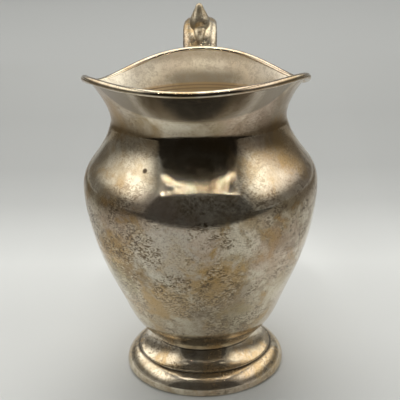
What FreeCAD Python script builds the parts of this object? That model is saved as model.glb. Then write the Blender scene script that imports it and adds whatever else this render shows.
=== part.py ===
import FreeCAD, Part
import math
import os

# Silver water pitcher: a spun baluster bowl, a flared pouring mouth with a round
# bead on its edge, a moulded foot and a hollow scroll handle.
# Millimetres. +Z is up, the spout points to -Y and the handle to +Y. The vessel's
# axis is the Z axis, and the foot rests on Z = 0.

# bowl
sheet = 1.0
joint_radius = 34.0
joint_height = 23.0
flank_points = [(42.1, 34.0), (51.8, 52.0), (62.0, 75.0), (70.1, 100.0), (73.2, 117.0)]
flank_lean = 40.0
floor_corner_radius = 10.0
shoulder_radius = 74.0
shoulder_height = 128.0
shoulder_round = 32.2
neck_radius = 54.5
neck_height = 171.0

# mouth: angle from the spout, radius and height of the bead's centre
rim_stations = [
    (0, 76.5, 203.5),
    (30, 74.0, 204.0),
    (60, 70.0, 202.5),
    (80, 68.2, 197.5),
    (92, 67.5, 192.5),
    (105, 65.0, 188.5),
    (125, 60.5, 190.5),
    (150, 58.0, 196.5),
    (180, 57.5, 199.5),
]
bead_radius = 2.1
mouth_curves = 5
mouth_columns = 48
mouth_flare = 2.0
bead_gap = 0.08
outer_corner_turn = math.radians(52)
inner_corner_turn = math.radians(25)

# foot
foot_sheet = 0.9
step_radius = 43.4
step_height = 14.0
step_drop = 1.0
ovolo_radius = 51.9
ovolo_height = 3.0
base_ring_width = 4.0
base_ring_thickness = 1.6
solder_leg = 2.4

# handle: centre line in the YZ plane, then width and thickness of the grip there
handle_stations = [
    (50.0, 179.0, 19.0, 10.0),
    (60.0, 183.0, 20.5, 10.5),
    (68.8, 190.5, 22.3, 11.5),
    (74.0, 200.0, 23.0, 12.0),
    (82.5, 207.3, 23.0, 12.4),
    (94.0, 208.5, 22.6, 12.4),
    (107.0, 202.5, 21.6, 12.2),
    (118.0, 188.5, 20.2, 11.8),
    (124.0, 168.0, 18.6, 11.4),
    (123.0, 144.0, 17.4, 11.0),
    (114.5, 120.5, 16.6, 10.6),
    (100.5, 101.5, 16.0, 10.4),
    (83.0, 88.0, 15.4, 10.2),
    (60.0, 78.5, 15.0, 10.0),
]
handle_wall = 1.2
handle_squareness = 0.8
half_section_steps = 8
vent_radius = 0.8
pad_margin = 2.6
pad_thickness = 1.4
pad_reach = 12.0
upper_pad_height = 182.5
lower_pad_height = 78.8
handle_root_depth = 9.0

# thumb rest: a finial that leans forward on the arch, with a tongue below it
finial_foot = (80.0, 206.0)
finial_tip = (76.0, 227.0)
finial_base_radius = 7.6
finial_skirt = (6.3, 11.0)
finial_waist = (3.8, 16.0)
finial_ball_radius = 2.7
finial_ball_reach = 62.0
tongue_centre = (72.4, 206.8)
tongue_half_sizes = (5.2, 3.0, 8.6)
tongue_lean = 38.0


def vec(x, y, z):
    return FreeCAD.Vector(x, y, z)


def on_profile(radius, height):
    return vec(radius, 0, height)


def spin(wire):
    return Part.Face(wire).revolve(vec(0, 0, 0), vec(0, 0, 1), 360)


def line(start, end):
    """A straight stretch, or nothing where the two ends meet."""
    if start.distanceToPoint(end) < 1e-6:
        return []
    return [Part.makeLine(start, end)]


def arc(centre, radius, first_turn, last_turn):
    """Arc in the profile plane; turns are in degrees from the outward direction."""
    turns = [math.radians(t) for t in (first_turn, (first_turn + last_turn) / 2, last_turn)]
    points = [centre + vec(math.cos(t), 0, math.sin(t)) * radius for t in turns]
    return Part.Arc(*points).toShape()


def end_points(edges):
    wire = Part.Wire(edges)
    return wire.OrderedVertexes[0].Point, wire.OrderedVertexes[-1].Point


def spun_sheet(outline, outer_depth, inner_depth):
    """A turned shell between two depths inside the outline's outer face."""
    outer = outline(outer_depth)
    inner = outline(inner_depth)
    outer_start, outer_end = end_points(outer)
    inner_start, inner_end = end_points(inner)
    edges = outer + line(outer_end, inner_end) + inner + line(inner_start, outer_start)
    return spin(Part.Wire(Part.__sortEdges__(edges)))


def flank(depth):
    """The bowl's side from the foot joint up to the shoulder."""
    lean = math.radians(flank_lean)
    ends = {"InitialTangent": vec(math.sin(lean), 0, math.cos(lean)), "FinalTangent": vec(0, 0, 1)}
    stations = [(joint_radius, joint_height)] + flank_points + [(shoulder_radius, shoulder_height)]
    points = [on_profile(radius, height) for radius, height in stations]
    curve = Part.BSplineCurve()
    curve.interpolate(Points=points, **ends)
    moved = []
    for point in points:
        along = curve.tangent(curve.parameter(point))[0]
        moved.append(point + vec(-along.z, 0, along.x) * depth)
    inside = Part.BSplineCurve()
    inside.interpolate(Points=moved, **ends)
    return inside.toShape()


def bowl_outline(depth):
    """The bowl from the middle of its floor up to the neck, at a depth in its wall."""
    lean = math.radians(flank_lean)
    inward = vec(-math.cos(lean), 0, math.sin(lean))
    corner_centre = on_profile(joint_radius, joint_height) + inward * floor_corner_radius
    floor_height = corner_centre.z - floor_corner_radius + depth
    shoulder_centre = on_profile(shoulder_radius - shoulder_round, shoulder_height)
    # the neck's hollow round is tangent to the shoulder's full one
    reach = neck_radius - shoulder_centre.x
    rise = neck_height - shoulder_height
    neck_round = (reach**2 + rise**2 - shoulder_round**2) / (2 * (shoulder_round - reach))
    neck_centre = on_profile(neck_radius + neck_round, neck_height)
    turn = math.degrees(math.atan2(rise, neck_centre.x - shoulder_centre.x))
    return [
        Part.makeLine(on_profile(0, floor_height), on_profile(corner_centre.x, floor_height)),
        arc(corner_centre, floor_corner_radius - depth, -90, -flank_lean),
        flank(depth),
        arc(shoulder_centre, shoulder_round - depth, 0, turn),
        arc(neck_centre, neck_round + depth, 180 + turn, 180),
    ]


def bowl_shell():
    return spun_sheet(bowl_outline, 0.0, sheet)


def bowl_block():
    """The bowl as if it were full: it cuts the pieces that are fitted against it."""
    outline = bowl_outline(0.0)
    start, end = end_points(outline)
    top = on_profile(0, neck_height)
    return spin(Part.Wire(Part.__sortEdges__(outline + line(end, top) + line(top, start))))


def rim_curve():
    """Closed centre line of the bead, the same on the left and on the right."""
    right = rim_stations[1:-1]
    around = rim_stations + [(-angle, r, z) for angle, r, z in reversed(right)]
    points = []
    for angle, radius, height in around:
        turn = math.radians(angle)
        points.append(vec(radius * math.sin(turn), -radius * math.cos(turn), height))
    curve = Part.BSplineCurve()
    curve.interpolate(Points=points, PeriodicFlag=True)
    return curve


def bead_stations():
    """Centre and direction of the bead at evenly spaced places round the mouth."""
    curve = rim_curve()
    span = curve.LastParameter - curve.FirstParameter
    stations = []
    for i in range(mouth_columns):
        place = curve.FirstParameter + span * i / mouth_columns
        stations.append((curve.value(place), curve.tangent(place)[0]))
    return stations


def wall_corner(centre, along, turn, radial, shift):
    """Where one face of the wall ends, just under the bead, and moved out by shift."""
    run = centre.dot(radial) - neck_radius
    slope = math.atan2(mouth_flare * run, centre.z - neck_height)
    up_wall = radial * math.sin(slope) + vec(0, 0, math.cos(slope))
    inward = radial * -math.cos(slope) + vec(0, 0, math.sin(slope))
    direction = inward * math.cos(turn) - up_wall * math.sin(turn)
    direction = direction - along * direction.dot(along)
    direction.normalize()
    return centre + direction * (bead_radius + bead_gap) + radial * shift


def wall_column(start_radius, corner, radial):
    """Points up one face of the wall: upright at the neck and flaring to the corner."""
    corner_radius = corner.dot(radial)
    sideways = corner - radial * corner_radius - vec(0, 0, corner.z)
    points = []
    for i in range(mouth_curves):
        share = i / (mouth_curves - 1)
        radius = start_radius + (corner_radius - start_radius) * share**mouth_flare
        height = neck_height + (corner.z - neck_height) * share
        points.append(radial * radius + sideways * share + vec(0, 0, height))
    return points


def mouth_wall(outer_shift, inner_shift):
    """The flared wall all round; the shifts move its outer and inner face outwards."""
    wires = []
    for centre, along in bead_stations():
        radial = vec(centre.x, centre.y, 0)
        radial.normalize()
        outer_corner = wall_corner(centre, along, outer_corner_turn, radial, outer_shift)
        inner_corner = wall_corner(centre, along, inner_corner_turn, radial, inner_shift)
        outer = wall_column(neck_radius + outer_shift, outer_corner, radial)
        inner = wall_column(neck_radius - sheet + inner_shift, inner_corner, radial)
        edges = [smooth_edge(outer), Part.makeLine(outer[-1], inner[-1])]
        edges += [smooth_edge(inner[::-1]), Part.makeLine(inner[0], outer[0])]
        wires.append(Part.Wire(edges))
    return Part.makeLoft(wires, True, False, True)


def rim_bead():
    rings = []
    for centre, along in bead_stations():
        ring = Part.Circle(centre, along, bead_radius)
        ring.XAxis = vec(0, 0, 1).cross(along)
        rings.append(Part.Wire(ring.toShape()))
    return Part.makeLoft(rings, True, False, True)


def mouth_collar():
    return mouth_wall(0.0, 0.0)


def foot_outline(depth):
    """The foot at a depth in its wall: rolled edge, full round, step and hollow round."""
    edge_centre = on_profile(ovolo_radius - ovolo_height, ovolo_height)
    round_centre = on_profile(step_radius, ovolo_height)
    widest = on_profile(ovolo_radius - depth, ovolo_height)
    round_top = on_profile(step_radius, step_height - step_drop - depth)
    if widest.x - round_centre.x > round_top.z - round_centre.z:
        full_round = Part.Ellipse(widest, round_top, round_centre)
    else:
        full_round = Part.Ellipse(round_top, widest, round_centre)
    turns = sorted(full_round.parameter(point) for point in (widest, round_top))
    if turns[1] - turns[0] > math.pi:
        turns = [turns[1] - 2 * math.pi, turns[0]]
    full_arc = Part.ArcOfEllipse(full_round, turns[0], turns[1])
    hollow = step_radius - joint_radius
    hollow_centre = on_profile(step_radius, joint_height)
    lowest_turn = math.degrees(math.asin(depth / (hollow + depth)))
    step_foot = on_profile(step_radius - depth, round_top.z)
    hollow_start = on_profile(
        step_foot.x, joint_height - (hollow + depth) * math.cos(math.radians(lowest_turn))
    )
    neck_foot = on_profile(joint_radius - depth, joint_height)
    edges = [arc(edge_centre, ovolo_height - depth, -90, 0), full_arc.toShape()]
    edges += line(round_top, step_foot) + line(step_foot, hollow_start)
    edges.append(arc(hollow_centre, hollow + depth, 270 - lowest_turn, 180))
    edges += line(neck_foot, neck_foot + vec(0, 0, sheet))
    return Part.__sortEdges__(edges)


def foot_shell(bowl):
    return spun_sheet(foot_outline, 0.0, foot_sheet).cut(bowl)


def foot_base_ring():
    outer = ovolo_radius - ovolo_height
    inner = outer - base_ring_width
    ring = Part.makeCylinder(outer, base_ring_thickness)
    ring = ring.cut(Part.makeCylinder(inner, base_ring_thickness))
    return ring


def foot_solder_fillet(bowl):
    """Solder in the corner between the foot's neck and the underside of the bowl."""
    outer = joint_radius - foot_sheet
    low = joint_height - solder_leg
    corners = [
        on_profile(outer, low),
        on_profile(outer, joint_height + sheet),
        on_profile(outer - solder_leg, joint_height + sheet),
        on_profile(outer - solder_leg, joint_height - sheet),
    ]
    return spin(Part.makePolygon(corners + corners[:1])).cut(bowl)


def handle_curve():
    curve = Part.BSplineCurve()
    curve.interpolate([vec(0, y, z) for y, z, width, thickness in handle_stations])
    return curve


def half_section(station, side, shrink):
    """Half an oval at one station, from the inside of the bend to its outside."""
    y, z, width, thickness = station
    curve = handle_curve()
    along = curve.tangent(curve.parameter(vec(0, y, z)))[0]
    outward = vec(0, -along.z, along.y)
    points = []
    for step in range(half_section_steps + 1):
        turn = math.pi * (step / half_section_steps - 0.5)
        across = math.cos(turn) ** handle_squareness if 0 < step < half_section_steps else 0.0
        up = math.copysign(abs(math.sin(turn)) ** handle_squareness, math.sin(turn))
        x = side * (width / 2 - shrink) * across
        points.append(vec(x, y, z) + outward * (up * (thickness / 2 - shrink)))
    return points


def smooth_edge(points):
    curve = Part.BSplineCurve()
    curve.interpolate(points)
    return curve.toShape()


def handle_half(side, shrink):
    """Half of the grip, hollow if its wall is inside shrink, else a solid block."""
    wires = []
    for station in handle_stations:
        outer = half_section(station, side, 0.0)
        inner = half_section(station, side, shrink)
        edges = [smooth_edge(outer), Part.makeLine(outer[-1], inner[-1])]
        edges += [smooth_edge(inner[::-1]), Part.makeLine(inner[0], outer[0])]
        wires.append(Part.Wire(edges))
    return Part.makeLoft(wires, True)


def handle_block():
    """The grip as if it were full."""
    wires = []
    for station in handle_stations:
        right = half_section(station, 1, 0.0)
        left = half_section(station, -1, 0.0)
        wires.append(Part.Wire([smooth_edge(right), smooth_edge(left[::-1])]))
    return Part.makeLoft(wires, True)


def vent_hole():
    """A pin hole on the inner side of the grip, low down, that lets hot air out."""
    y, z, width, thickness = handle_stations[-3]
    return Part.makeCylinder(vent_radius, thickness, vec(0, y, z), vec(0, -1, 0.6))


def oval_prism(station, height):
    """Upright oval bar along Y, a margin larger than the grip at its station."""
    y, z, width, thickness = station
    bar = Part.makeCylinder(1.0, 2 * pad_reach, vec(0, 0, -pad_reach))
    stretch = FreeCAD.Matrix()
    stretch.scale(width / 2 + pad_margin, thickness / 2 + pad_margin, 1.0)
    bar = bar.transformGeometry(stretch)
    bar.rotate(vec(0, 0, 0), vec(1, 0, 0), 90)
    bar.translate(vec(0, y, height))
    return bar


def upper_handle_pad():
    band = mouth_wall(pad_thickness, sheet)
    return oval_prism(handle_stations[0], upper_pad_height).common(band)


def lower_handle_pad():
    band = spun_sheet(bowl_outline, -pad_thickness, 0.0)
    return oval_prism(handle_stations[-1], lower_pad_height).common(band)


def finial():
    """Flame-shaped tip, turned about an axis from its foot on the arch to its top."""
    foot = vec(0, *finial_foot)
    tip = vec(0, *finial_tip)
    length = (tip - foot).Length
    ball = arc(on_profile(0, length - finial_ball_radius), finial_ball_radius, 90, 90 - finial_ball_reach)
    ball_edge = ball.Vertexes[-1].Point
    side = Part.BSplineCurve()
    side.interpolate(
        [ball_edge, on_profile(*finial_waist), on_profile(*finial_skirt), on_profile(finial_base_radius, 0)]
    )
    edges = [ball, side.toShape()]
    edges += line(on_profile(finial_base_radius, 0), on_profile(0, 0))
    edges += line(on_profile(0, 0), on_profile(0, length))
    body = spin(Part.Wire(edges))
    lean = math.degrees(math.atan2(foot.y - tip.y, tip.z - foot.z))
    body.rotate(vec(0, 0, 0), vec(1, 0, 0), lean)
    body.translate(foot)
    return body


def tongue():
    """Long drop that runs down the front of the grip under the finial."""
    drop = Part.makeSphere(1.0)
    stretch = FreeCAD.Matrix()
    stretch.scale(*tongue_half_sizes)
    drop = drop.transformGeometry(stretch)
    drop.rotate(vec(0, 0, 0), vec(1, 0, 0), -tongue_lean)
    drop.translate(vec(0, *tongue_centre))
    return drop


def thumb_rest(grip):
    return finial().fuse(tongue()).cut(grip)


def save(name, shape):
    if not shape.isValid():
        raise ValueError(name + " is not a valid shape")
    shape.exportStep("parts/" + name + ".step")
    print(name, len(shape.Solids), "solid", round(shape.Volume, 1), "mm3")


def main():
    bowl = bowl_block()
    grip = handle_block()
    upper_clearance = mouth_wall(pad_thickness, -handle_root_depth)
    lower_clearance = bowl.fuse(spun_sheet(bowl_outline, -pad_thickness, 0.0))
    save("bowl_shell", bowl_shell())
    save("mouth_collar", mouth_collar())
    save("rim_bead", rim_bead())
    save("foot_shell", foot_shell(bowl))
    save("foot_base_ring", foot_base_ring())
    save("foot_solder_fillet", foot_solder_fillet(bowl))
    save("upper_handle_pad", upper_handle_pad())
    save("lower_handle_pad", lower_handle_pad())
    for side, name in ((1, "handle_right_half"), (-1, "handle_left_half")):
        half = handle_half(side, handle_wall)
        half = half.cut(upper_clearance).cut(lower_clearance).cut(vent_hole())
        save(name, half)
    save("thumb_rest", thumb_rest(grip))


main()
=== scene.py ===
import math
import bpy
from mathutils import Euler, Matrix, Vector, noise


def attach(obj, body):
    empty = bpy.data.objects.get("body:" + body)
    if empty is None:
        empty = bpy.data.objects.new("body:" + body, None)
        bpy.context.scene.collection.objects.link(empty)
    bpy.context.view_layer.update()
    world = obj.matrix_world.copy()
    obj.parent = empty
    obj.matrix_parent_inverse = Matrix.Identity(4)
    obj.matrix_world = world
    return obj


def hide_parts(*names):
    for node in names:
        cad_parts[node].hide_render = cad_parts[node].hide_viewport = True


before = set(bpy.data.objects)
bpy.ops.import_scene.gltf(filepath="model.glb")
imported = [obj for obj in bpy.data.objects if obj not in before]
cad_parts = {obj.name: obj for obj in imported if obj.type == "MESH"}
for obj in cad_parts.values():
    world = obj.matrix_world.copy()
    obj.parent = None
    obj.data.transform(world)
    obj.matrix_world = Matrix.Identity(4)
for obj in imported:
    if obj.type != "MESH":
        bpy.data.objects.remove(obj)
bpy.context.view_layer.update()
print("frame loaded with", len(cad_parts), "nodes")

mm = 0.001


# shapes are in millimetres until a piece is finished

def deselectAll():
    if bpy.context.mode != "OBJECT":
        bpy.ops.object.mode_set(mode="OBJECT")
    bpy.ops.object.select_all(action="DESELECT")


def takeNewPiece(name):
    piece = bpy.context.object
    piece.name = name
    piece.data.name = name
    return piece


def smoothThrough(places, values, endSlopes=(None, None)):
    # a cubic curve through the given values, with a chosen slope at an end where one is given
    n = len(places)
    gaps = [places[i + 1] - places[i] for i in range(n - 1)]
    rises = [(values[i + 1] - values[i]) / gaps[i] for i in range(n - 1)]
    low, mid, high, right = [0.0] * n, [1.0] * n, [0.0] * n, [0.0] * n
    for i in range(1, n - 1):
        low[i], mid[i], high[i] = gaps[i - 1], 2 * (gaps[i - 1] + gaps[i]), gaps[i]
        right[i] = 6 * (rises[i] - rises[i - 1])
    if endSlopes[0] is not None:
        mid[0], high[0], right[0] = 2 * gaps[0], gaps[0], 6 * (rises[0] - endSlopes[0])
    if endSlopes[1] is not None:
        low[-1], mid[-1], right[-1] = gaps[-1], 2 * gaps[-1], 6 * (endSlopes[1] - rises[-1])
    for i in range(1, n):
        share = low[i] / mid[i - 1]
        mid[i] -= share * high[i - 1]
        right[i] -= share * right[i - 1]
    bends = [0.0] * n
    bends[-1] = right[-1] / mid[-1]
    for i in range(n - 2, -1, -1):
        bends[i] = (right[i] - high[i] * bends[i + 1]) / mid[i]

    def at(place):
        i = 0
        while i < n - 2 and place > places[i + 1]:
            i += 1
        a, b, g = places[i + 1] - place, place - places[i], gaps[i]
        return (bends[i] * a ** 3 + bends[i + 1] * b ** 3) / (6 * g) \
            + (values[i] / g - bends[i] * g / 6) * a + (values[i + 1] / g - bends[i + 1] * g / 6) * b
    return at


def arcPoints(centre, radius, firstTurn, lastTurn, count, squash=1.0):
    turns = [math.radians(firstTurn + (lastTurn - firstTurn) * i / count) for i in range(count + 1)]
    return [(centre[0] + radius * math.cos(t), centre[1] + radius * squash * math.sin(t)) for t in turns]


def offsetOutline(points, distance):
    moved = []
    for i, (r, z) in enumerate(points):
        before, after = points[max(i - 1, 0)], points[min(i + 1, len(points) - 1)]
        run, rise = after[0] - before[0], after[1] - before[1]
        length = math.hypot(run, rise)
        moved.append((max(r - distance * rise / length, 0.0), z + distance * run / length))
    return moved


def spunPiece(name, outline, columns):
    # one vertex is pulled along the outline, then spun about the Z axis
    deselectAll()
    bpy.ops.mesh.primitive_plane_add(size=1, location=(0, 0, 0))
    piece = takeNewPiece(name)
    bpy.ops.object.mode_set(mode="EDIT")
    bpy.ops.mesh.select_all(action="SELECT")
    bpy.ops.mesh.merge(type="CENTER")
    bpy.ops.transform.translate(value=(outline[0][0], 0, outline[0][1]))
    for before, after in zip(outline, outline[1:]):
        step = (after[0] - before[0], 0, after[1] - before[1])
        bpy.ops.mesh.extrude_vertices_move(TRANSFORM_OT_translate={"value": step})
    bpy.ops.mesh.select_all(action="SELECT")
    bpy.ops.mesh.spin(steps=columns, angle=2 * math.pi, center=(0, 0, 0), axis=(0, 0, 1))
    bpy.ops.mesh.select_all(action="SELECT")
    bpy.ops.mesh.remove_doubles(threshold=0.002)
    bpy.ops.mesh.normals_make_consistent(inside=False)
    bpy.ops.object.mode_set(mode="OBJECT")
    return piece


def smoothShade(piece, angle=None):
    deselectAll()
    bpy.context.view_layer.objects.active = piece
    piece.select_set(True)
    if angle is None:
        bpy.ops.object.shade_smooth()
    else:
        bpy.ops.object.shade_smooth_by_angle(angle=math.radians(angle))


def finishPiece(piece, slot, *nodes):
    # from millimetres to the frame's metres, with the object itself left at the origin
    piece.data.transform(Matrix.Scale(mm, 4))
    piece.data.update()
    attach(piece, "root")
    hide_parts(*nodes)


# the bowl is spun, with a slightly uneven surface
bowl = {
    "columns": 192, "sheet": 1.0, "ringStep": 1.25,
    "floorHeight": 23.0, "floorRadius": 28.2, "floorRings": (0, 9, 19),
    "cornerRadius": 10.0, "cornerSteps": 8,
    "flankStart": (42.1, 34.0), "flankLean": 40, "flankSlope": 0.839, "neckRadius": 54.5, "neckHeight": 171.0,
    "heights": [34, 52, 75, 100, 117, 128, 135, 142, 147, 152, 157, 161, 166, 171],
    "radii": [42.1, 51.8, 62.0, 70.1, 73.2, 73.9, 72.8, 69.3, 65.6, 62.1, 59.1, 57.2, 55.5, 54.5],
    "unevenness": 0.035, "unevenSize": 34.0, "unevenTallness": 1.6, "unevenBeyond": 20,
}

bodyRadius = smoothThrough(bowl["heights"], bowl["radii"], (bowl["flankSlope"], 0.0))


def uneven(place):
    size = bowl["unevenSize"]
    tall = bowl["unevenTallness"] * size
    return bowl["unevenness"] * noise.noise(Vector((place[0] / size, place[1] / size, 3.7 + place[2] / tall)))


def roughenWall(piece):
    for v in piece.data.vertices:
        away = Vector((v.co.x, v.co.y, 0))
        if away.length > bowl["unevenBeyond"]:
            v.co += away.normalized() * uneven(v.co)


def keepNormalsAtJoint(piece, height):
    # the wall is upright where two pieces meet, so the shine runs on over the joint
    normals = []
    for v in piece.data.vertices:
        if abs(v.co.z - height) < 0.01:
            away = Vector((v.co.x, v.co.y, 0)).normalized()
            inside = math.hypot(v.co.x, v.co.y) < bowl["neckRadius"] - 0.5
            normals.append(-away if inside else away)
        else:
            normals.append(v.normal.copy())
    piece.data.normals_split_custom_set_from_vertices(normals)


def makeBowl():
    corner = (bowl["floorRadius"], bowl["floorHeight"] + bowl["cornerRadius"])
    start = bowl["flankStart"]
    outline = [(r, bowl["floorHeight"]) for r in bowl["floorRings"]]
    outline += arcPoints(corner, bowl["cornerRadius"], -90, -bowl["flankLean"], bowl["cornerSteps"])
    end = outline[-1]
    for share in (0.33, 0.67):
        outline.append(tuple(end[k] + (start[k] - end[k]) * share for k in (0, 1)))
    rings = round((bowl["neckHeight"] - start[1]) / bowl["ringStep"])
    for i in range(rings + 1):
        z = start[1] + (bowl["neckHeight"] - start[1]) * i / rings
        outline.append((bodyRadius(z), z))
    inner = offsetOutline(outline, bowl["sheet"])
    inner[-1] = (bowl["neckRadius"] - bowl["sheet"], bowl["neckHeight"])
    piece = spunPiece("bowl", outline + inner[::-1], bowl["columns"])
    roughenWall(piece)
    smoothShade(piece)
    keepNormalsAtJoint(piece, bowl["neckHeight"])
    finishPiece(piece, "bowl_silver", "bowl_shell")
    return piece


bowlPiece = makeBowl()
print("bowl made")


# the mouth is a collar that flares by a different amount all the way round, and its bead
mouth = {
    "turns": [0, 30, 60, 80, 92, 105, 125, 150, 180],          # degrees from the spout
    "radii": [76.5, 74.0, 70.0, 68.2, 67.5, 65.0, 60.5, 58.0, 57.5],
    "heights": [203.5, 204.0, 202.5, 197.5, 192.5, 188.5, 190.5, 196.5, 199.5],
    "twist": 1.6, "lean": -0.9,                                 # hand-raised, so not quite true
    "flareSoftness": 1.5, "flareEnd": 1.6, "rings": 30, "wallSetIn": 1.45,
    "beadRadius": 2.05, "beadColumns": 288, "beadSides": 20, "beadGuide": 60,
    "beadWear": 0.035, "beadWearSize": 9.0,
}


def allRound(values):
    # the listed half is mirrored, and carried on past the back both ways so that it joins smoothly
    turns = mouth["turns"]
    places = [t - 360 for t in turns[1:-1]] + [-t for t in turns[:0:-1]] + turns
    places += [360 - t for t in turns[-2:0:-1]]
    return smoothThrough(places, values[1:-1] + values[:0:-1] + values + values[-2:0:-1])


rimRadiusAt = allRound(mouth["radii"])
rimHeightAt = allRound(mouth["heights"])


def rimPoint(turn):
    # turn is in degrees from -Y, growing towards +X
    here = turn + mouth["twist"]
    return rimRadiusAt(here), rimHeightAt(here)


def wallPoint(turn, share, depth):
    # share is 0 at the neck and 1 at the rim, depth runs from the outer face inwards
    radius, height = rimPoint(turn)
    neck, base = bowl["neckRadius"] - bowl["sheet"] / 2, bowl["neckHeight"]
    lean = math.atan2(mouth["flareEnd"] * (radius - neck), height - base)
    endRadius = radius - mouth["wallSetIn"] * math.cos(lean)
    endHeight = height + mouth["wallSetIn"] * math.sin(lean)
    soft = mouth["flareSoftness"]
    flare = (1 + soft) * share ** 2 / (share + soft)
    steepness = (1 + soft) * (share ** 2 + 2 * soft * share) / (share + soft) ** 2
    r = neck + (endRadius - neck) * flare
    z = base + (endHeight - base) * share
    slope = math.atan2((endRadius - neck) * steepness, endHeight - base)
    out = bowl["sheet"] / 2 - depth
    return r + out * math.cos(slope), z - out * math.sin(slope)


def placeRound(turn, radius, height, share):
    a = math.radians(turn)
    return Vector((radius * math.sin(a) + mouth["lean"] * share, -radius * math.cos(a), height))


def makeCollar():
    rings = mouth["rings"]
    outer = [(bowl["neckRadius"], bowl["neckHeight"] + i) for i in range(rings + 1)]
    inner = [(r - bowl["sheet"], z) for r, z in outer[::-1]]
    piece = spunPiece("mouthCollar", outer + inner + [outer[0]], bowl["columns"])
    for v in piece.data.vertices:
        turn = math.degrees(math.atan2(v.co.x, -v.co.y))
        depth = bowl["neckRadius"] - math.hypot(v.co.x, v.co.y)
        share = (v.co.z - bowl["neckHeight"]) / rings
        radius, height = wallPoint(turn, share, depth)
        v.co = placeRound(turn, radius, height, share)
    roughenWall(piece)
    smoothShade(piece)
    keepNormalsAtJoint(piece, bowl["neckHeight"])
    finishPiece(piece, "collar_silver", "mouth_collar")
    return piece


def makeBead():
    deselectAll()
    guide = mouth["beadGuide"]
    bpy.ops.mesh.primitive_torus_add(major_radius=guide, minor_radius=mouth["beadRadius"],
                                     major_segments=mouth["beadColumns"], minor_segments=mouth["beadSides"])
    piece = takeNewPiece("rimBead")
    for v in piece.data.vertices:
        turn = math.degrees(math.atan2(v.co.x, -v.co.y))
        across, up = math.hypot(v.co.x, v.co.y) - guide, v.co.z
        radius, height = rimPoint(turn)
        wear = 1 + mouth["beadWear"] * noise.noise(Vector((turn / mouth["beadWearSize"], 1.5, 8.2)))
        v.co = placeRound(turn, radius + across * wear, height + up * wear, 1.0)
    smoothShade(piece)
    finishPiece(piece, "bead_silver", "rim_bead")
    return piece


collarPiece = makeCollar()
beadPiece = makeBead()
print("collar and bead made")


# the foot has a rolled edge, a full round, a small step and a hollow round
foot = {
    "columns": 192, "sheet": 0.9, "edgeRadius": 51.9, "edgeHeight": 3.0, "edgeSteps": 12,
    "roundCentre": 38.0, "roundSteps": 24,
    "stepRadius": 43.4, "stepTop": 14.0, "stepDrop": 0.8, "stepRound": 0.35,
    "hollowCentre": (51.66, 28.19), "hollowRadius": 18.9, "hollowTallness": 0.85, "hollowTurns": (242, 197),
    "hollowSteps": 30, "unevenShare": 0.5, "unevenScale": 1.7,
}


def makeFoot():
    edge, step = foot["edgeHeight"], foot["stepRadius"]
    roundTop = foot["stepTop"] - foot["stepDrop"]
    outline = arcPoints((foot["edgeRadius"] - edge, edge), edge, -90, 0, foot["edgeSteps"])
    wide = foot["edgeRadius"] - foot["roundCentre"]
    lastTurn = math.acos((step - foot["roundCentre"]) / wide)
    tall = (roundTop - edge) / math.sin(lastTurn)
    for i in range(1, foot["roundSteps"] + 1):
        t = lastTurn * i / foot["roundSteps"]
        outline.append((foot["roundCentre"] + wide * math.cos(t), edge + tall * math.sin(t)))
    soft = foot["stepRound"]
    outline.append((step + 0.05, roundTop + 0.12))
    outline += arcPoints((step - soft, foot["stepTop"] - soft), soft, 0, 90, 4)
    outline += arcPoints(foot["hollowCentre"], foot["hollowRadius"], *foot["hollowTurns"],
                         foot["hollowSteps"], foot["hollowTallness"])
    outline.append((outline[-1][0] - 0.3, outline[-1][1] + 1.0))
    inner = offsetOutline(outline, foot["sheet"])
    inner[0] = (outline[0][0] - 0.1, foot["sheet"])
    piece = spunPiece("foot", outline + inner[::-1] + [outline[0]], foot["columns"])
    for v in piece.data.vertices:
        away = Vector((v.co.x, v.co.y, 0))
        if v.co.z > foot["sheet"] + 0.1:
            v.co += away.normalized() * foot["unevenShare"] * uneven(v.co * foot["unevenScale"])
    smoothShade(piece, 50)
    finishPiece(piece, "foot_silver", "foot_shell")
    return piece


footPiece = makeFoot()
print("foot made")


# the grip is a straight tube, shaped by its widths and then laid along its path
handle = {
    # y, z, width, thickness of the grip from its upper root to its lower one
    "stations": [(50, 179, 19, 10), (60, 183, 20.5, 10.5), (68.8, 190.5, 22.3, 11.5), (74, 200, 23, 12),
                 (82.5, 207.3, 23, 12.4), (94, 208.5, 22.6, 12.4), (107, 202.5, 21.6, 12.2),
                 (118, 188.5, 20.2, 11.8), (124, 168, 18.6, 11.4), (123, 144, 17.4, 11),
                 (114.5, 120.5, 16.6, 10.6), (100.5, 101.5, 16, 10.4), (83, 88, 15.4, 10.2),
                 (60, 78.5, 15, 10)],
    "lengths": 110, "sides": 56, "squareness": 0.8, "sideShift": -0.9, "rootDepth": 0.4, "rootTop": 186,
    # height, width and thickness of the grip where each pad sits
    "upperPad": (182.5, 19, 10), "lowerPad": (78.8, 15, 10), "padMargin": 2.5, "padThickness": 1.35,
    "padSides": 64, "padInsets": (0.05, 0.10, 0.10, 0.10, 0.10, 0.10, 0.10, 0.10, 0.10),
    "padFlat": 0.86, "padFall": 22,
}


def pathThrough(column):
    stations = handle["stations"]
    places = [0.0]
    for a, b in zip(stations, stations[1:]):
        places.append(places[-1] + math.hypot(b[0] - a[0], b[1] - a[1]))
    return smoothThrough(places, [s[column] for s in stations]), places[-1]


pathY, pathLength = pathThrough(0)
pathZ, pathWidth, pathThickness = (pathThrough(k)[0] for k in (1, 2, 3))


def backRadius(height):
    # the vessel's outer face at the back, below and above the neck
    if height <= bowl["neckHeight"]:
        return bodyRadius(height)
    rise = rimPoint(180)[1] - bowl["neckHeight"]
    return wallPoint(180, min((height - bowl["neckHeight"]) / rise, 1.0), 0.0)[0]


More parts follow.
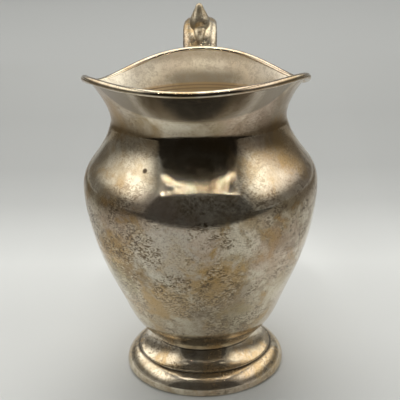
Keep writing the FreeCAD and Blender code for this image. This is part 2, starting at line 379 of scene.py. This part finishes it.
def gripPoint(place, across, up):
    y, z = pathY(place), pathZ(place)
    dy = pathY(place + 0.05) - pathY(place - 0.05)
    dz = pathZ(place + 0.05) - pathZ(place - 0.05)
    length = math.hypot(dy, dz)
    p = Vector((across + handle["sideShift"], y - up * dz / length, z + up * dy / length))
    wall = backRadius(p.z) - handle["rootDepth"]
    reach = math.sqrt(max(wall ** 2 - p.x ** 2, 1.0))
    if p.y < reach and p.z < handle["rootTop"]:
        p.y = reach                                             # the ends stop in the vessel's wall
    return p


def squared(value, squareness):
    return math.copysign(abs(value) ** squareness, value) if abs(value) > 1e-4 else 0.0


def makeGrip():
    deselectAll()
    bpy.ops.mesh.primitive_circle_add(vertices=handle["sides"], radius=1, fill_type="NGON")
    piece = takeNewPiece("grip")
    bpy.ops.object.mode_set(mode="EDIT")
    bpy.ops.mesh.select_all(action="SELECT")
    for i in range(handle["lengths"]):
        bpy.ops.mesh.extrude_region_move(TRANSFORM_OT_translate={"value": (0, 0, 1)})
    bpy.ops.mesh.select_all(action="SELECT")
    bpy.ops.mesh.normals_make_consistent(inside=False)
    bpy.ops.object.mode_set(mode="OBJECT")
    for v in piece.data.vertices:
        place = pathLength * v.co.z / handle["lengths"]
        across = squared(v.co.x, handle["squareness"]) * pathWidth(place) / 2
        up = squared(v.co.y, handle["squareness"]) * pathThickness(place) / 2
        v.co = gripPoint(place, across, up)
    bpy.ops.object.mode_set(mode="EDIT")
    bpy.ops.mesh.select_all(action="SELECT")
    bpy.ops.mesh.normals_make_consistent(inside=False)          # laying it along the path turns it inside out
    bpy.ops.object.mode_set(mode="OBJECT")
    return piece


def makeHalf(grip, side, name, node):
    deselectAll()
    piece = grip.copy()
    piece.data = grip.data.copy()
    bpy.context.scene.collection.objects.link(piece)
    piece.name = piece.data.name = name
    bpy.context.view_layer.objects.active = piece
    piece.select_set(True)
    bpy.ops.object.mode_set(mode="EDIT")
    bpy.ops.mesh.select_all(action="SELECT")
    bpy.ops.mesh.bisect(plane_co=(handle["sideShift"], 0, 0), plane_no=(side, 0, 0),
                        use_fill=True, clear_inner=True)
    bpy.ops.mesh.select_all(action="SELECT")
    bpy.ops.mesh.normals_make_consistent(inside=False)
    bpy.ops.object.mode_set(mode="OBJECT")
    smoothShade(piece)
    # on the middle plane both halves take the whole grip's normals
    whole = {tuple(round(c, 3) for c in v.co): v.normal.copy() for v in grip.data.vertices}
    normals = [whole.get(tuple(round(c, 3) for c in v.co), v.normal) for v in piece.data.vertices]
    piece.data.normals_split_custom_set_from_vertices(normals)
    finishPiece(piece, "handle_silver", node)
    return piece


def makePad(name, node, height, width, thickness):
    # an oval plate with a softened edge, laid on the vessel's back
    deselectAll()
    bpy.ops.mesh.primitive_circle_add(vertices=handle["padSides"], radius=1, fill_type="NGON")
    piece = takeNewPiece(name)
    bpy.ops.object.mode_set(mode="EDIT")
    bpy.ops.mesh.select_all(action="SELECT")
    bpy.ops.mesh.extrude_region_move(TRANSFORM_OT_translate={"value": (0, 0, 1)})
    for step in handle["padInsets"]:
        bpy.ops.mesh.inset(thickness=step)
    bpy.ops.mesh.select_all(action="SELECT")
    bpy.ops.mesh.normals_make_consistent(inside=False)
    bpy.ops.object.mode_set(mode="OBJECT")
    halfWide, halfTall = width / 2 + handle["padMargin"], thickness / 2 + handle["padMargin"]
    for v in piece.data.vertices:
        past = max(math.hypot(v.co.x, v.co.y) - handle["padFlat"], 0)
        lift = handle["padThickness"] * (1 - past ** 2 * handle["padFall"]) if v.co.z > 0.5 else -0.3
        x, z = v.co.x * halfWide + handle["sideShift"], height + v.co.y * halfTall
        radius = backRadius(z) + lift
        v.co = Vector((x, math.sqrt(radius ** 2 - x ** 2), z))
    smoothShade(piece, 60)
    finishPiece(piece, "handle_silver", node)
    return piece


grip = makeGrip()
leftHalf = makeHalf(grip, -1, "handleLeftHalf", "handle_left_half")
rightHalf = makeHalf(grip, 1, "handleRightHalf", "handle_right_half")
bpy.data.objects.remove(grip)
upperPad = makePad("upperPad", "upper_handle_pad", *handle["upperPad"])
lowerPad = makePad("lowerPad", "lower_handle_pad", *handle["lowerPad"])
print("handle made")


# the thumb rest is a spun flame and a drop, melted into one casting
thumb = {
    "footAt": (80, 206), "tipAt": (76, 226.9), "baseRadius": 5.2,
    "skirt": (6.8, 9), "waist": (4.1, 15.5), "ballRadius": 2.5, "ballReach": 66,
    "dropAt": (73.4, 207.4), "dropHalfSizes": (5.6, 3.6, 9.6), "dropLean": -38, "dropTaper": 0.5,
    "rows": 24, "columns": 64, "ballRows": 10, "voxel": 0.36, "smoothFactor": 0.5, "smoothTimes": 34,
}


def makeThumbRest():
    rise = Vector((0, thumb["tipAt"][0] - thumb["footAt"][0], thumb["tipAt"][1] - thumb["footAt"][1]))
    length = rise.length
    ball = arcPoints((0, length - thumb["ballRadius"]), thumb["ballRadius"], 90 - thumb["ballReach"], 90,
                     thumb["ballRows"])
    side = smoothThrough([0, thumb["skirt"][1], thumb["waist"][1], ball[0][1]],
                         [thumb["baseRadius"], thumb["skirt"][0], thumb["waist"][0], ball[0][0]])
    heights = [ball[0][1] * i / thumb["rows"] for i in range(thumb["rows"])]
    outline = [(0, 0)] + [(side(z), z) for z in heights] + ball
    outline[-1] = (0, outline[-1][1])
    flame = spunPiece("thumbRest", outline, thumb["columns"])
    lean = math.atan2(-rise.y, rise.z)
    flame.data.transform(Matrix.Translation((handle["sideShift"], thumb["footAt"][0], thumb["footAt"][1]))
                         @ Matrix.Rotation(lean, 4, "X"))
    deselectAll()
    bpy.ops.mesh.primitive_uv_sphere_add(segments=48, ring_count=32, radius=1)
    drop = takeNewPiece("drop")
    turn = Euler((math.radians(thumb["dropLean"]), 0, 0)).to_matrix().to_4x4()
    size = Matrix.Diagonal((*thumb["dropHalfSizes"], 1))
    for v in drop.data.vertices:
        v.co.x *= 1 - thumb["dropTaper"] * (1 - v.co.z) / 2     # narrows to a point at its lower end
    drop.data.transform(Matrix.Translation((handle["sideShift"], *thumb["dropAt"])) @ turn @ size)
    flame.select_set(True)
    bpy.context.view_layer.objects.active = flame
    bpy.ops.object.join()
    for kind, settings in (("REMESH", {"mode": "VOXEL", "voxel_size": thumb["voxel"]}),
                           ("SMOOTH", {"factor": thumb["smoothFactor"], "iterations": thumb["smoothTimes"]})):
        change = flame.modifiers.new(kind.lower(), kind)
        for key, value in settings.items():
            setattr(change, key, value)
        bpy.ops.object.modifier_apply(modifier=change.name)
    smoothShade(flame)
    finishPiece(flame, "thumb_silver", "thumb_rest")
    return flame


thumbPiece = makeThumbRest()
print("thumb rest made")


# wraps a socket, so that shader maths is written as expressions
class Flow:
    def __init__(self, tree, socket=None):
        self.tree = tree
        self.socket = socket

    def node(self, kind, settings=None, inputs=None, output=0):
        made = self.tree.nodes.new(kind)
        for key, value in (settings or {}).items():
            if key == "stops":
                ramp = made.color_ramp
                while len(ramp.elements) < len(value):
                    ramp.elements.new(0.5)
                for element, (place, colour) in zip(ramp.elements, value):
                    element.position = place
                    element.color = colour
            else:
                setattr(made, key, value)
        for key, value in (inputs or {}).items():
            if isinstance(value, Flow):
                self.tree.links.new(value.socket, made.inputs[key])
            else:
                made.inputs[key].default_value = value
        return Flow(self.tree, made.outputs[output] if made.outputs else None)

    def other(self, index):
        # another output of the same node
        return Flow(self.tree, self.socket.node.outputs[index])

    def maths(self, operation, *others, clamp=False):
        values = dict(enumerate(others))
        return self.node("ShaderNodeMath", {"operation": operation, "use_clamp": clamp}, values)

    def __add__(self, other):
        return self.maths("ADD", self, other)

    def __radd__(self, other):
        return self.maths("ADD", other, self)

    def __sub__(self, other):
        return self.maths("SUBTRACT", self, other)

    def __rsub__(self, other):
        return self.maths("SUBTRACT", other, self)

    def __mul__(self, other):
        return self.maths("MULTIPLY", self, other)

    def __rmul__(self, other):
        return self.maths("MULTIPLY", other, self)

    def __truediv__(self, other):
        return self.maths("DIVIDE", self, other)

    def ramp(self, low, high):
        # 0 at low, 1 at high, and a soft step between
        return self.node("ShaderNodeMapRange", {"interpolation_type": "SMOOTHSTEP", "clamp": True},
                         {"Value": self, "From Min": low, "From Max": high})

    def mix(self, colourA, colourB):
        return self.node("ShaderNodeMix", {"data_type": "RGBA"}, {0: self, 6: colourA, 7: colourB}, 2)


def rgb(red, green, blue):
    return (red, green, blue, 1.0)


def newMaterial(name):
    material = bpy.data.materials.new(name)
    material.use_nodes = True
    material.node_tree.nodes.clear()
    return material, Flow(material.node_tree)


def placeFlow(flow):
    return flow.node("ShaderNodeTexCoord", output=3)


def axesFlow(flow, place):
    across = flow.node("ShaderNodeSeparateXYZ", {}, {0: place})
    return across, across.other(1), across.other(2)


def nearFlow(flow, value, centre, far, close):
    # 1 where the value is within close of the centre, 0 where it is further than far
    return flow.maths("ABSOLUTE", value - centre).ramp(far, close)


def noiseFlow(flow, place, scale, detail=3.0, roughness=0.55, distortion=0.0,
              stretch=(1, 1, 1), shift=(0, 0, 0)):
    moved = flow.node("ShaderNodeMapping", {}, {"Vector": place, "Location": shift, "Scale": stretch})
    return flow.node("ShaderNodeTexNoise", {"noise_dimensions": "3D"},
                     {"Vector": moved, "Scale": scale, "Detail": detail, "Roughness": roughness,
                      "Distortion": distortion})


def stainFlow(flow, place, centre, reach, ragged, seedShift):
    # a ragged round patch about a point of the surface, given in millimetres
    away = flow.node("ShaderNodeVectorMath", {"operation": "DISTANCE"},
                     {0: place, 1: tuple(c * mm for c in centre)}, 1)
    edge = noiseFlow(flow, place, 120, 4.0, 0.65, 0.4, shift=(seedShift, 0, 0))
    inside = 1 - away / (reach * mm)
    return (inside + (edge - 0.5) * ragged).ramp(0.0, 0.55)


# colours of the silver, from clean metal to tarnish, and colours of painted reflections
silver = {
    "clean": rgb(0.82, 0.745, 0.59), "pale": rgb(0.86, 0.80, 0.67), "paintedFloorReflection": rgb(0.98, 0.86, 0.66),
    "haze": rgb(0.53, 0.43, 0.28), "dull": rgb(0.36, 0.285, 0.19), "paintedReflectionDark": rgb(0.20, 0.18, 0.13),
    "gold": rgb(0.56, 0.36, 0.13), "rose": rgb(0.60, 0.45, 0.36), "lilac": rgb(0.72, 0.69, 0.60),
    "olive": rgb(0.36, 0.31, 0.15), "brown": rgb(0.25, 0.18, 0.11), "paintedLipReflection": rgb(0.36, 0.31, 0.24),
    "dark": rgb(0.09, 0.068, 0.045),
}

# marks that have a place, with heights and lengths in millimetres
marks = {
    # centre, reach, raggedness, colour, strength
    "stains": [((-50, -22, 178), 24, 1.6, "gold", 0.60),
               ((46, -26, 178), 26, 1.6, "brown", 0.60),
               ((58, -22, 158), 26, 1.6, "gold", 0.60),
               ((-46, -46, 100), 22, 1.9, "gold", 0.85),
               ((-38, -54, 92), 16, 2.2, "brown", 0.60),
               ((-48, -40, 78), 17, 1.8, "olive", 0.75),
               ((-20, -58, 66), 20, 2.0, "gold", 0.85),
               ((2, -60, 62), 13, 2.2, "brown", 0.50),
               ((10, -62, 82), 24, 2.2, "gold", 0.75),
               ((24, -56, 76), 14, 2.2, "brown", 0.50),
               ((18, -50, 56), 16, 2.1, "olive", 0.45),
               ((-20, -68, 106), 30, 1.6, "lilac", 0.55),
               ((45, -48, 100), 26, 1.6, "rose", 0.45),
               ((0, -40, 32), 40, 1.1, "brown", 0.18),
               ((-30, 34, 190), 34, 1.6, "gold", 0.55),
               ((34, 30, 190), 34, 1.6, "gold", 0.55),
               ((30, -50, 185), 26, 1.4, "rose", 0.50)],
    "pit": ((-30.0, -54.0, 153.0), 2.1, 0.5),
    "cleanShoulder": (150, 124), "shoulderTarnish": 0.34,       # rubbed clean above, fully tarnished below
    # a painted dark reflection under the front of the lip: its lower edge, how that edge arches up to the
    # sides, its softness and strength
    "paintedLipReflectionEdge": 182.0, "paintedLipReflectionArch": 6, "paintedLipReflectionSoftness": 2.2, "paintedLipReflectionStrength": 0.85,
    "neckBand": (158, 166, 174, 182), "neckStrength": 0.35,
    # the lower flank painted paler, a painted reflection of the bright floor
    "paintedFloorReflectionHeights": (92, 60), "paintedFloorReflectionStrength": 0.20,
    "paintedShadeLines": (13.3, 24.3), "paintedShadeStrength": 0.85,          # painted shade lines in the foot's step, and at its joint with the bowl
    # how much the film, and the painted dark reflection under the lip, take from how metallic the surface is
    "filmHeights": (154, 138), "filmStrength": 0.10, "paintedLipReflectionFilm": 0.14,
    # a shade under the rim at the back, and a painted dark reflection on the back wall inside
    "rimShade": (191.5, 196.0), "paintedBackReflection": ((2, 57, 180), 34, 0.7), "paintedBackReflectionHeights": (190.0, 182.0),
    "goldHeights": (178.8, 177.6), "goldFade": (140, 170), "neckRings": (174.3, 176.5),
}


def addStains(flow, place, colour, tarnish):
    for i, (centre, reach, ragged, tint, strength) in enumerate(marks["stains"]):
        mask = stainFlow(flow, place, centre, reach, ragged, 0.37 * i) * (strength * tarnish)
        colour = mask.mix(colour, silver[tint])
    return colour


def addOuterMarks(flow, place, colour):
    # also gives how metallic the surface is, because a thin film dulls the flank and the painted dark
    # reflection under the lip
    across, along, up = axesFlow(flow, place)
    height = up / mm
    ratio = across / (along - 0.0001)
    # painted dark reflection under the lip, on the front only, its lower edge rising towards the sides
    edge = height - ratio * ratio * marks["paintedLipReflectionArch"] - marks["paintedLipReflectionEdge"]
    front = (along / mm * -1.0).ramp(-5.0, 20.0)
    paintedLipReflection = edge.ramp(0.0, marks["paintedLipReflectionSoftness"]) * front * marks["paintedLipReflectionStrength"]
    colour = paintedLipReflection.mix(colour, silver["paintedLipReflection"])
    first, full, last, gone = marks["neckBand"]
    neckBand = height.ramp(first, full) * (1 - height.ramp(last, gone)) * marks["neckStrength"]
    colour = neckBand.mix(colour, silver["brown"])
    # painted reflection of the bright floor: the lower flank is made paler
    colour = (height.ramp(*marks["paintedFloorReflectionHeights"]) * marks["paintedFloorReflectionStrength"]).mix(colour, silver["paintedFloorReflection"])
    # painted shade lines in the foot's step and at its joint with the bowl
    for line in marks["paintedShadeLines"]:
        colour = (nearFlow(flow, height, line, 0.9, 0.2) * marks["paintedShadeStrength"]).mix(colour, silver["dark"])
    colour = stainFlow(flow, place, *marks["pit"], 0.1).mix(colour, silver["dark"])
    film = height.ramp(*marks["filmHeights"]) * marks["filmStrength"] + paintedLipReflection * marks["paintedLipReflectionFilm"]
    return colour, 1 - film


def addInnerMarks(flow, place, colour, paleness, speckles):
    # paler metal, a shade under the rim, a painted dark reflection on the back wall, and golden rings where
    # the neck begins
    across, along, up = axesFlow(flow, place)
    height = up / mm
    colour = flow.node("ShaderNodeMix", {"data_type": "RGBA"}, {0: paleness, 6: colour, 7: silver["pale"]}, 2)
    atBack = (along * -1.0).ramp(0.02, -0.03)
    colour = (height.ramp(*marks["rimShade"]) * atBack * 0.6).mix(colour, silver["dull"])
    # painted dark reflection in the middle of the back wall inside
    paintedBackReflectionMask = stainFlow(flow, place, *marks["paintedBackReflection"], 0.9) * height.ramp(*marks["paintedBackReflectionHeights"]) * 0.75
    colour = paintedBackReflectionMask.mix(colour, silver["paintedReflectionDark"])
    colour = (speckles.ramp(0.47, 0.56) * 0.35).mix(colour, silver["dull"])
    gold = height.ramp(*marks["goldHeights"]) * (height.ramp(*marks["goldFade"]) * 0.4 + 0.1)
    colour = gold.mix(colour, silver["gold"])
    for line in marks["neckRings"]:
        colour = (nearFlow(flow, height, line, 0.7, 0.1) * 0.8).mix(colour, silver["brown"])
    return colour


def silverMaterial(name, tarnish, polish, lineStrength, metallic=1.0, outside=False, paleness=0.0):
    # tarnish is how dirty the metal is, and polish how rough its cleanest places are
    material, flow = newMaterial(name)
    place = placeFlow(flow)
    broad = noiseFlow(flow, place, 16, 3.0, 0.5, 0.6)
    soft = noiseFlow(flow, place, 40, 4.0, 0.55, 0.8)
    patches = noiseFlow(flow, place, 60, 7.0, 0.72, 0.9)
    mottle = noiseFlow(flow, place, 230, 6.0, 0.75, 0.5)
    fine = noiseFlow(flow, place, 950, 4.0, 0.7)
    flecks = noiseFlow(flow, place, 700, 4.0, 0.65, 0.6, shift=(0.3, 0.1, 0))
    rubbed = noiseFlow(flow, place, 70, 4.0, 0.6, stretch=(1, 1, 16), shift=(0, 0.2, 0))
    clusters = noiseFlow(flow, place, 42, 3.0, 0.6, 0.5, shift=(0.7, 0, 0.1)).ramp(0.475, 0.59)
    squiggles = noiseFlow(flow, place, 270, 3.0, 0.65, 1.8, stretch=(1, 1, 1.7), shift=(0.1, 0.6, 0))
    veins = noiseFlow(flow, place, 48, 4.0, 0.62, 1.4, stretch=(1, 1, 1.5), shift=(0.2, 0.5, 0))
    wear = tarnish
    if outside:
        height = axesFlow(flow, place)[2] / mm
        least = marks["shoulderTarnish"] * tarnish
        wear = height.ramp(*marks["cleanShoulder"]) * (tarnish - least) + least

    # soft patches of haze, then gold and stains
    colour = soft.ramp(0.38, 0.62).mix(silver["clean"], silver["haze"])
    colour = ((patches * 0.6 + mottle * 0.4).ramp(0.46, 0.58) * wear * 0.72).mix(colour, silver["dull"])
    colour = (broad.ramp(0.46, 0.66) * 0.48).mix(colour, silver["rose"])
    goldMask = (patches * 0.6 + soft * 0.4).ramp(0.515, 0.59) * wear * 0.75
    colour = goldMask.mix(colour, silver["gold"])
    if outside:
        colour = addStains(flow, place, colour, tarnish)

    # fine speckle, clusters of squiggles, thin veins and dark flecks
    colour = (fine.ramp(0.50, 0.64) * wear * 0.40).mix(colour, silver["brown"])
    colour = (fine.ramp(0.44, 0.32) * 0.25).mix(colour, silver["clean"])
    colour = (squiggles.ramp(0.495, 0.56) * clusters * wear * 0.95).mix(colour, silver["brown"])
    colour = (squiggles.ramp(0.47, 0.40) * clusters * wear * 0.60).mix(colour, silver["clean"])
    colour = (squiggles.ramp(0.54, 0.60) * clusters * wear * wear * 0.5).mix(colour, silver["dark"])
    veinMask = nearFlow(flow, veins, 0.5, 0.014, 0.002) * mottle.ramp(0.44, 0.58)
    colour = (veinMask * wear * 0.6).mix(colour, silver["brown"])
    colour = (flecks.ramp(0.58, 0.66) * mottle.ramp(0.42, 0.58) * wear * 0.8).mix(colour, silver["dark"])
    if outside:
        colour, metallic = addOuterMarks(flow, place, colour)
    if paleness > 0:
        colour = addInnerMarks(flow, place, colour, paleness, mottle * 0.6 + fine * 0.4)

    roughness = polish + mottle.ramp(0.40, 0.70) * (0.10 * tarnish) + goldMask * 0.14 + fine * 0.05
    height = fine * 0.35 + mottle * 0.9 + patches + rubbed * lineStrength
    bump = flow.node("ShaderNodeBump", {}, {"Strength": 0.2, "Distance": 0.1 * mm, "Height": height})
    shader = flow.node("ShaderNodeBsdfPrincipled", {}, {
        "Base Color": colour, "Metallic": metallic, "Roughness": roughness, "Normal": bump})
    flow.node("ShaderNodeOutputMaterial", {}, {"Surface": shader})
    return material


def dress(piece, material):
    piece.data.materials.clear()
    piece.data.materials.append(material)


def dressInside(piece, material):
    # the faces that look towards the axis, or up from the floor of the bowl, are the vessel's inside
    piece.data.materials.append(material)
    floorTop = (bowl["floorHeight"] + 7) * mm
    for face in piece.data.polygons:
        outwards = face.normal.x * face.center.x + face.normal.y * face.center.y
        if outwards < 0 or (face.normal.z > 0.9 and face.center.z < floorTop):
            face.material_index = 1


bodySilver = silverMaterial("bodySilver", 1.0, 0.07, 1.0, outside=True)
insideSilver = silverMaterial("insideSilver", 0.30, 0.26, 1.5, metallic=0.5, paleness=0.55)
footSilver = silverMaterial("footSilver", 1.0, 0.08, 1.0, outside=True)
gripSilver = silverMaterial("gripSilver", 1.0, 0.20, 0.6, metallic=0.95)
thumbSilver = silverMaterial("thumbSilver", 0.7, 0.25, 0.6, metallic=0.92)
beadSilver = silverMaterial("beadSilver", 0.3, 0.12, 0.3)
for piece, material in ((bowlPiece, bodySilver), (collarPiece, bodySilver), (beadPiece, beadSilver),
                        (footPiece, footSilver), (leftHalf, gripSilver), (rightHalf, gripSilver),
                        (upperPad, gripSilver), (lowerPad, gripSilver), (thumbPiece, thumbSilver)):
    dress(piece, material)
for piece in (bowlPiece, collarPiece):
    dressInside(piece, insideSilver)


def dullMaterial(name, base, roughness):
    material, flow = newMaterial(name)
    place = placeFlow(flow)
    grain = noiseFlow(flow, place, 500, 4.0, 0.6)
    colour = grain.ramp(0.3, 0.7).mix(rgb(*base), rgb(*(0.7 * c for c in base)))
    bump = flow.node("ShaderNodeBump", {}, {"Strength": 0.3, "Distance": 0.0001, "Height": grain})
    shader = flow.node("ShaderNodeBsdfPrincipled", {}, {
        "Base Color": colour, "Metallic": 1.0, "Roughness": roughness + grain * 0.15, "Normal": bump})
    flow.node("ShaderNodeOutputMaterial", {}, {"Surface": shader})
    return material


for node, material in (("foot_base_ring", dullMaterial("wornRing", (0.52, 0.48, 0.43), 0.32)),
                       ("foot_solder_fillet", dullMaterial("solder", (0.45, 0.43, 0.40), 0.42))):
    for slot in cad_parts[node].material_slots:
        slot.material = material
print("materials made")


# pale floor with painted light and shade, dark room in front, bright cards at the sides and one row of small
# lamps, in metres
stage = {
    "floorColour": rgb(0.605, 0.61, 0.585), "floorSize": 12,
    "worldColour": rgb(0.55, 0.555, 0.55), "worldStrength": 0.60,
    # painted light and shade on the floor: how bright the floor is painted at distances behind the pitcher,
    # from toneStart over toneLength
    "toneStart": -0.5, "toneLength": 2,
    "paintedFloorLight": [(-0.42, 0.60), (-0.22, 0.78), (-0.06, 1.05), (0.06, 1.08), (0.16, 1.20), (0.23, 1.03),
                   (0.30, 0.83), (0.40, 0.71), (0.60, 0.70), (1.40, 1.0)],
    "cardLift": 0.002, "roomColour": rgb(0.016, 0.0145, 0.012), "roomEdge": -0.315,
    "roomFront": -3, "roomHalf": 1.3,
    "wallPlace": -1.0, "wallHalf": 1.25, "wallTop": 1.85, "wallTopHalf": 1.0,
    "tableNear": rgb(0.46, 0.45, 0.42), "tableFar": rgb(0.13, 0.115, 0.09), "tableFrom": 0.16, "tableTo": 2.5,
    "tableFade": 0.35, "tableBack": 0.9,
    "cardColour": rgb(1.0, 0.96, 0.88), "cardLow": 0.15, "cardHigh": 1.70, "cardPlace": 0.72,
    "cardDepths": (-0.62, 1.1), "cardHeights": (0.10, 1.15),
    "fadeHeights": (0.24, 0.66), "fadeDepths": (-0.62, -0.15),
    "ceilingStrength": 2.3, "ceilingHalf": 0.8, "ceilingDepths": (-0.6, 1.7), "ceilingHeights": (1.9, 2.1),
    "lampColour": rgb(1.0, 0.95, 0.86), "lampStrength": 120.0, "lampCount": 34, "lampSpan": 0.62,
    "lampPlace": -0.33, "lampHeight": 0.521, "lampWidth": 0.006, "lampTallness": 0.01, "lampLean": -0.005,
    # name, place, size, watts and colour
    "lights": [("topLight", (-0.1, 0.55, 1.5), 1.3, 17, (1.0, 1.0, 1.0)),
               ("frontLight", (-0.1, -1.4, 1.6), 1.2, 10, (1.0, 1.0, 0.99))],
    "lightsTarget": (0, 0, 0.1),
}


def glowMaterial(name, colour, strength=1.0):
    material, flow = newMaterial(name)
    shine = colour(flow) if callable(colour) else colour
    glow = flow.node("ShaderNodeEmission", {}, {"Color": shine, "Strength": strength})
    flow.node("ShaderNodeOutputMaterial", {}, {"Surface": glow})
    return material


def addCard(name, corners, material):
    # a flat card that only reflections see
    deselectAll()
    bpy.ops.mesh.primitive_plane_add(size=1)
    card = takeNewPiece(name)
    for v, corner in zip(card.data.vertices, corners):
        v.co = Vector(corner)
    dress(card, material)
    card.visible_camera = False
    card.visible_shadow = False
    card.visible_diffuse = False


def flatCorners(left, right, front, back, height, backHeight=None):
    backHeight = height if backHeight is None else backHeight
    return [(left, front, height), (right, front, height),
            (left, back, backHeight), (right, back, backHeight)]


def makeFloor():
    deselectAll()
    bpy.ops.mesh.primitive_plane_add(size=stage["floorSize"], location=(0, 0, 0))
    floor = takeNewPiece("floor")
    material, flow = newMaterial("paleFloorPaintedLight")
    start, length = stage["toneStart"], stage["toneLength"]
    # painted light and shade: the floor's colour is scaled along its depth
    stops = [((y - start) / length, rgb(*(tone * c for c in stage["floorColour"][:3])))
             for y, tone in stage["paintedFloorLight"]]
    behind = axesFlow(flow, placeFlow(flow))[1]
    tone = flow.node("ShaderNodeValToRGB", {"stops": stops}, {"Fac": (behind - start) / length})
    grain = noiseFlow(flow, placeFlow(flow), 700, 2.0)
    colour = (grain * 0.03).mix(tone, rgb(0.3, 0.3, 0.3))
    shader = flow.node("ShaderNodeBsdfPrincipled", {}, {"Base Color": colour, "Roughness": 0.6})
    flow.node("ShaderNodeOutputMaterial", {}, {"Surface": shader})
    dress(floor, material)


def tableGlow(flow):
    # the table grows dimmer to both sides
    aside = flow.maths("ABSOLUTE", axesFlow(flow, placeFlow(flow))[0])
    return aside.ramp(stage["tableFrom"], stage["tableFrom"] + stage["tableFade"]).mix(
        stage["tableNear"], stage["tableFar"])


def sideGlow(flow):
    # the side cards are brighter higher up and further back
    across, depth, height = axesFlow(flow, placeFlow(flow))
    fade = height.ramp(*stage["fadeHeights"]) * depth.ramp(*stage["fadeDepths"])
    low, high = (rgb(*(stage[key] * c for c in stage["cardColour"][:3])) for key in ("cardLow", "cardHigh"))
    return fade.mix(low, high)


def addCards():
    lift, edge, wall, top = (stage[key] for key in ("cardLift", "roomEdge", "wallPlace", "wallTop"))
    room = glowMaterial("darkRoom", stage["roomColour"])
    half = stage["roomHalf"]
    addCard("roomFloor", flatCorners(-half, half, stage["roomFront"], edge, lift), room)
    table = glowMaterial("dimTable", tableGlow)
    for sign in (-1, 1):
        addCard("tableSide", flatCorners(sign * stage["tableFrom"], sign * stage["tableTo"], edge,
                                         stage["tableBack"], lift), table)
    low, high = stage["wallHalf"], stage["wallTopHalf"]
    addCard("roomWall", [(-low, wall, 0), (low, wall, 0), (-high, wall, top), (high, wall, top)], room)
    addCard("roomCeiling", flatCorners(-high, high, wall, stage["ceilingDepths"][0], top), room)
    side = glowMaterial("softCard", sideGlow)
    (front, back), (bottom, above) = stage["cardDepths"], stage["cardHeights"]
    for sign in (-1, 1):
        x = sign * stage["cardPlace"]
        addCard("sideCard", [(x, front, bottom), (x, back, bottom),
                             (x, front, above), (x, back, above)], side)
    ceiling = glowMaterial("ceilingCard", stage["cardColour"], stage["ceilingStrength"])
    half = stage["ceilingHalf"]
    corners = flatCorners(-half, half, *stage["ceilingDepths"], *stage["ceilingHeights"])
    addCard("ceilingCard", corners, ceiling)


def addLamps():
    lamp = glowMaterial("smallLamp", stage["lampColour"], stage["lampStrength"])
    y, z = stage["lampPlace"], stage["lampHeight"]
    for i in range(stage["lampCount"]):
        x = stage["lampSpan"] * (i / (stage["lampCount"] - 1) - 0.5)
        addCard("smallLamp", flatCorners(x, x + stage["lampWidth"], y, y + stage["lampLean"], z,
                                         z + stage["lampTallness"]), lamp)


def addWorld():
    world = bpy.data.worlds.new("softRoom")
    bpy.context.scene.world = world
    world.use_nodes = True
    background = world.node_tree.nodes["Background"]
    background.inputs["Color"].default_value = stage["worldColour"]
    background.inputs["Strength"].default_value = stage["worldStrength"]


def addLight(kind, name, at, target, power):
    deselectAll()
    bpy.ops.object.light_add(type=kind, location=at)
    light = bpy.context.object
    light.name = name
    light.data.energy = power
    light.rotation_euler = (Vector(target) - Vector(at)).to_track_quat("-Z", "Y").to_euler()
    light.visible_glossy = False
    return light


# a small light for the inside of the mouth
mouthLight = {
    "at": (0, -0.26, 0.62), "target": (0, 0.035, 0.19),
    "power": 7, "spread": 17, "softness": 0.8, "size": 0.03,
}


def addLights():
    for name, at, size, power, colour in stage["lights"]:
        light = addLight("AREA", name, at, stage["lightsTarget"], power)
        light.data.size = size
        light.data.color = colour
    light = addLight("SPOT", "mouthLight", mouthLight["at"], mouthLight["target"], mouthLight["power"])
    light.data.spot_size = math.radians(mouthLight["spread"])
    light.data.spot_blend = mouthLight["softness"]
    light.data.shadow_soft_size = mouthLight["size"]


camera = {
    "at": (0.0248, -0.6165, 0.3459), "target": (0, 0, 0.1143), "lens": 92.7, "roll": -1.5, "shiftX": -0.0026,
}


def makeCamera():
    deselectAll()
    bpy.ops.object.camera_add(location=camera["at"])
    view = bpy.context.object
    look = (Vector(camera["target"]) - Vector(camera["at"])).to_track_quat("-Z", "Y").to_matrix()
    view.rotation_euler = (look @ Matrix.Rotation(math.radians(camera["roll"]), 3, "Z")).to_euler()
    view.data.lens = camera["lens"]
    view.data.shift_x = camera["shiftX"]
    view.data.clip_start = 0.01
    bpy.context.scene.camera = view


makeFloor()
addCards()
addLamps()
addWorld()
addLights()
makeCamera()
bpy.context.scene.view_settings.view_transform = "Standard"
bpy.context.view_layer.update()
print("stage and camera made")
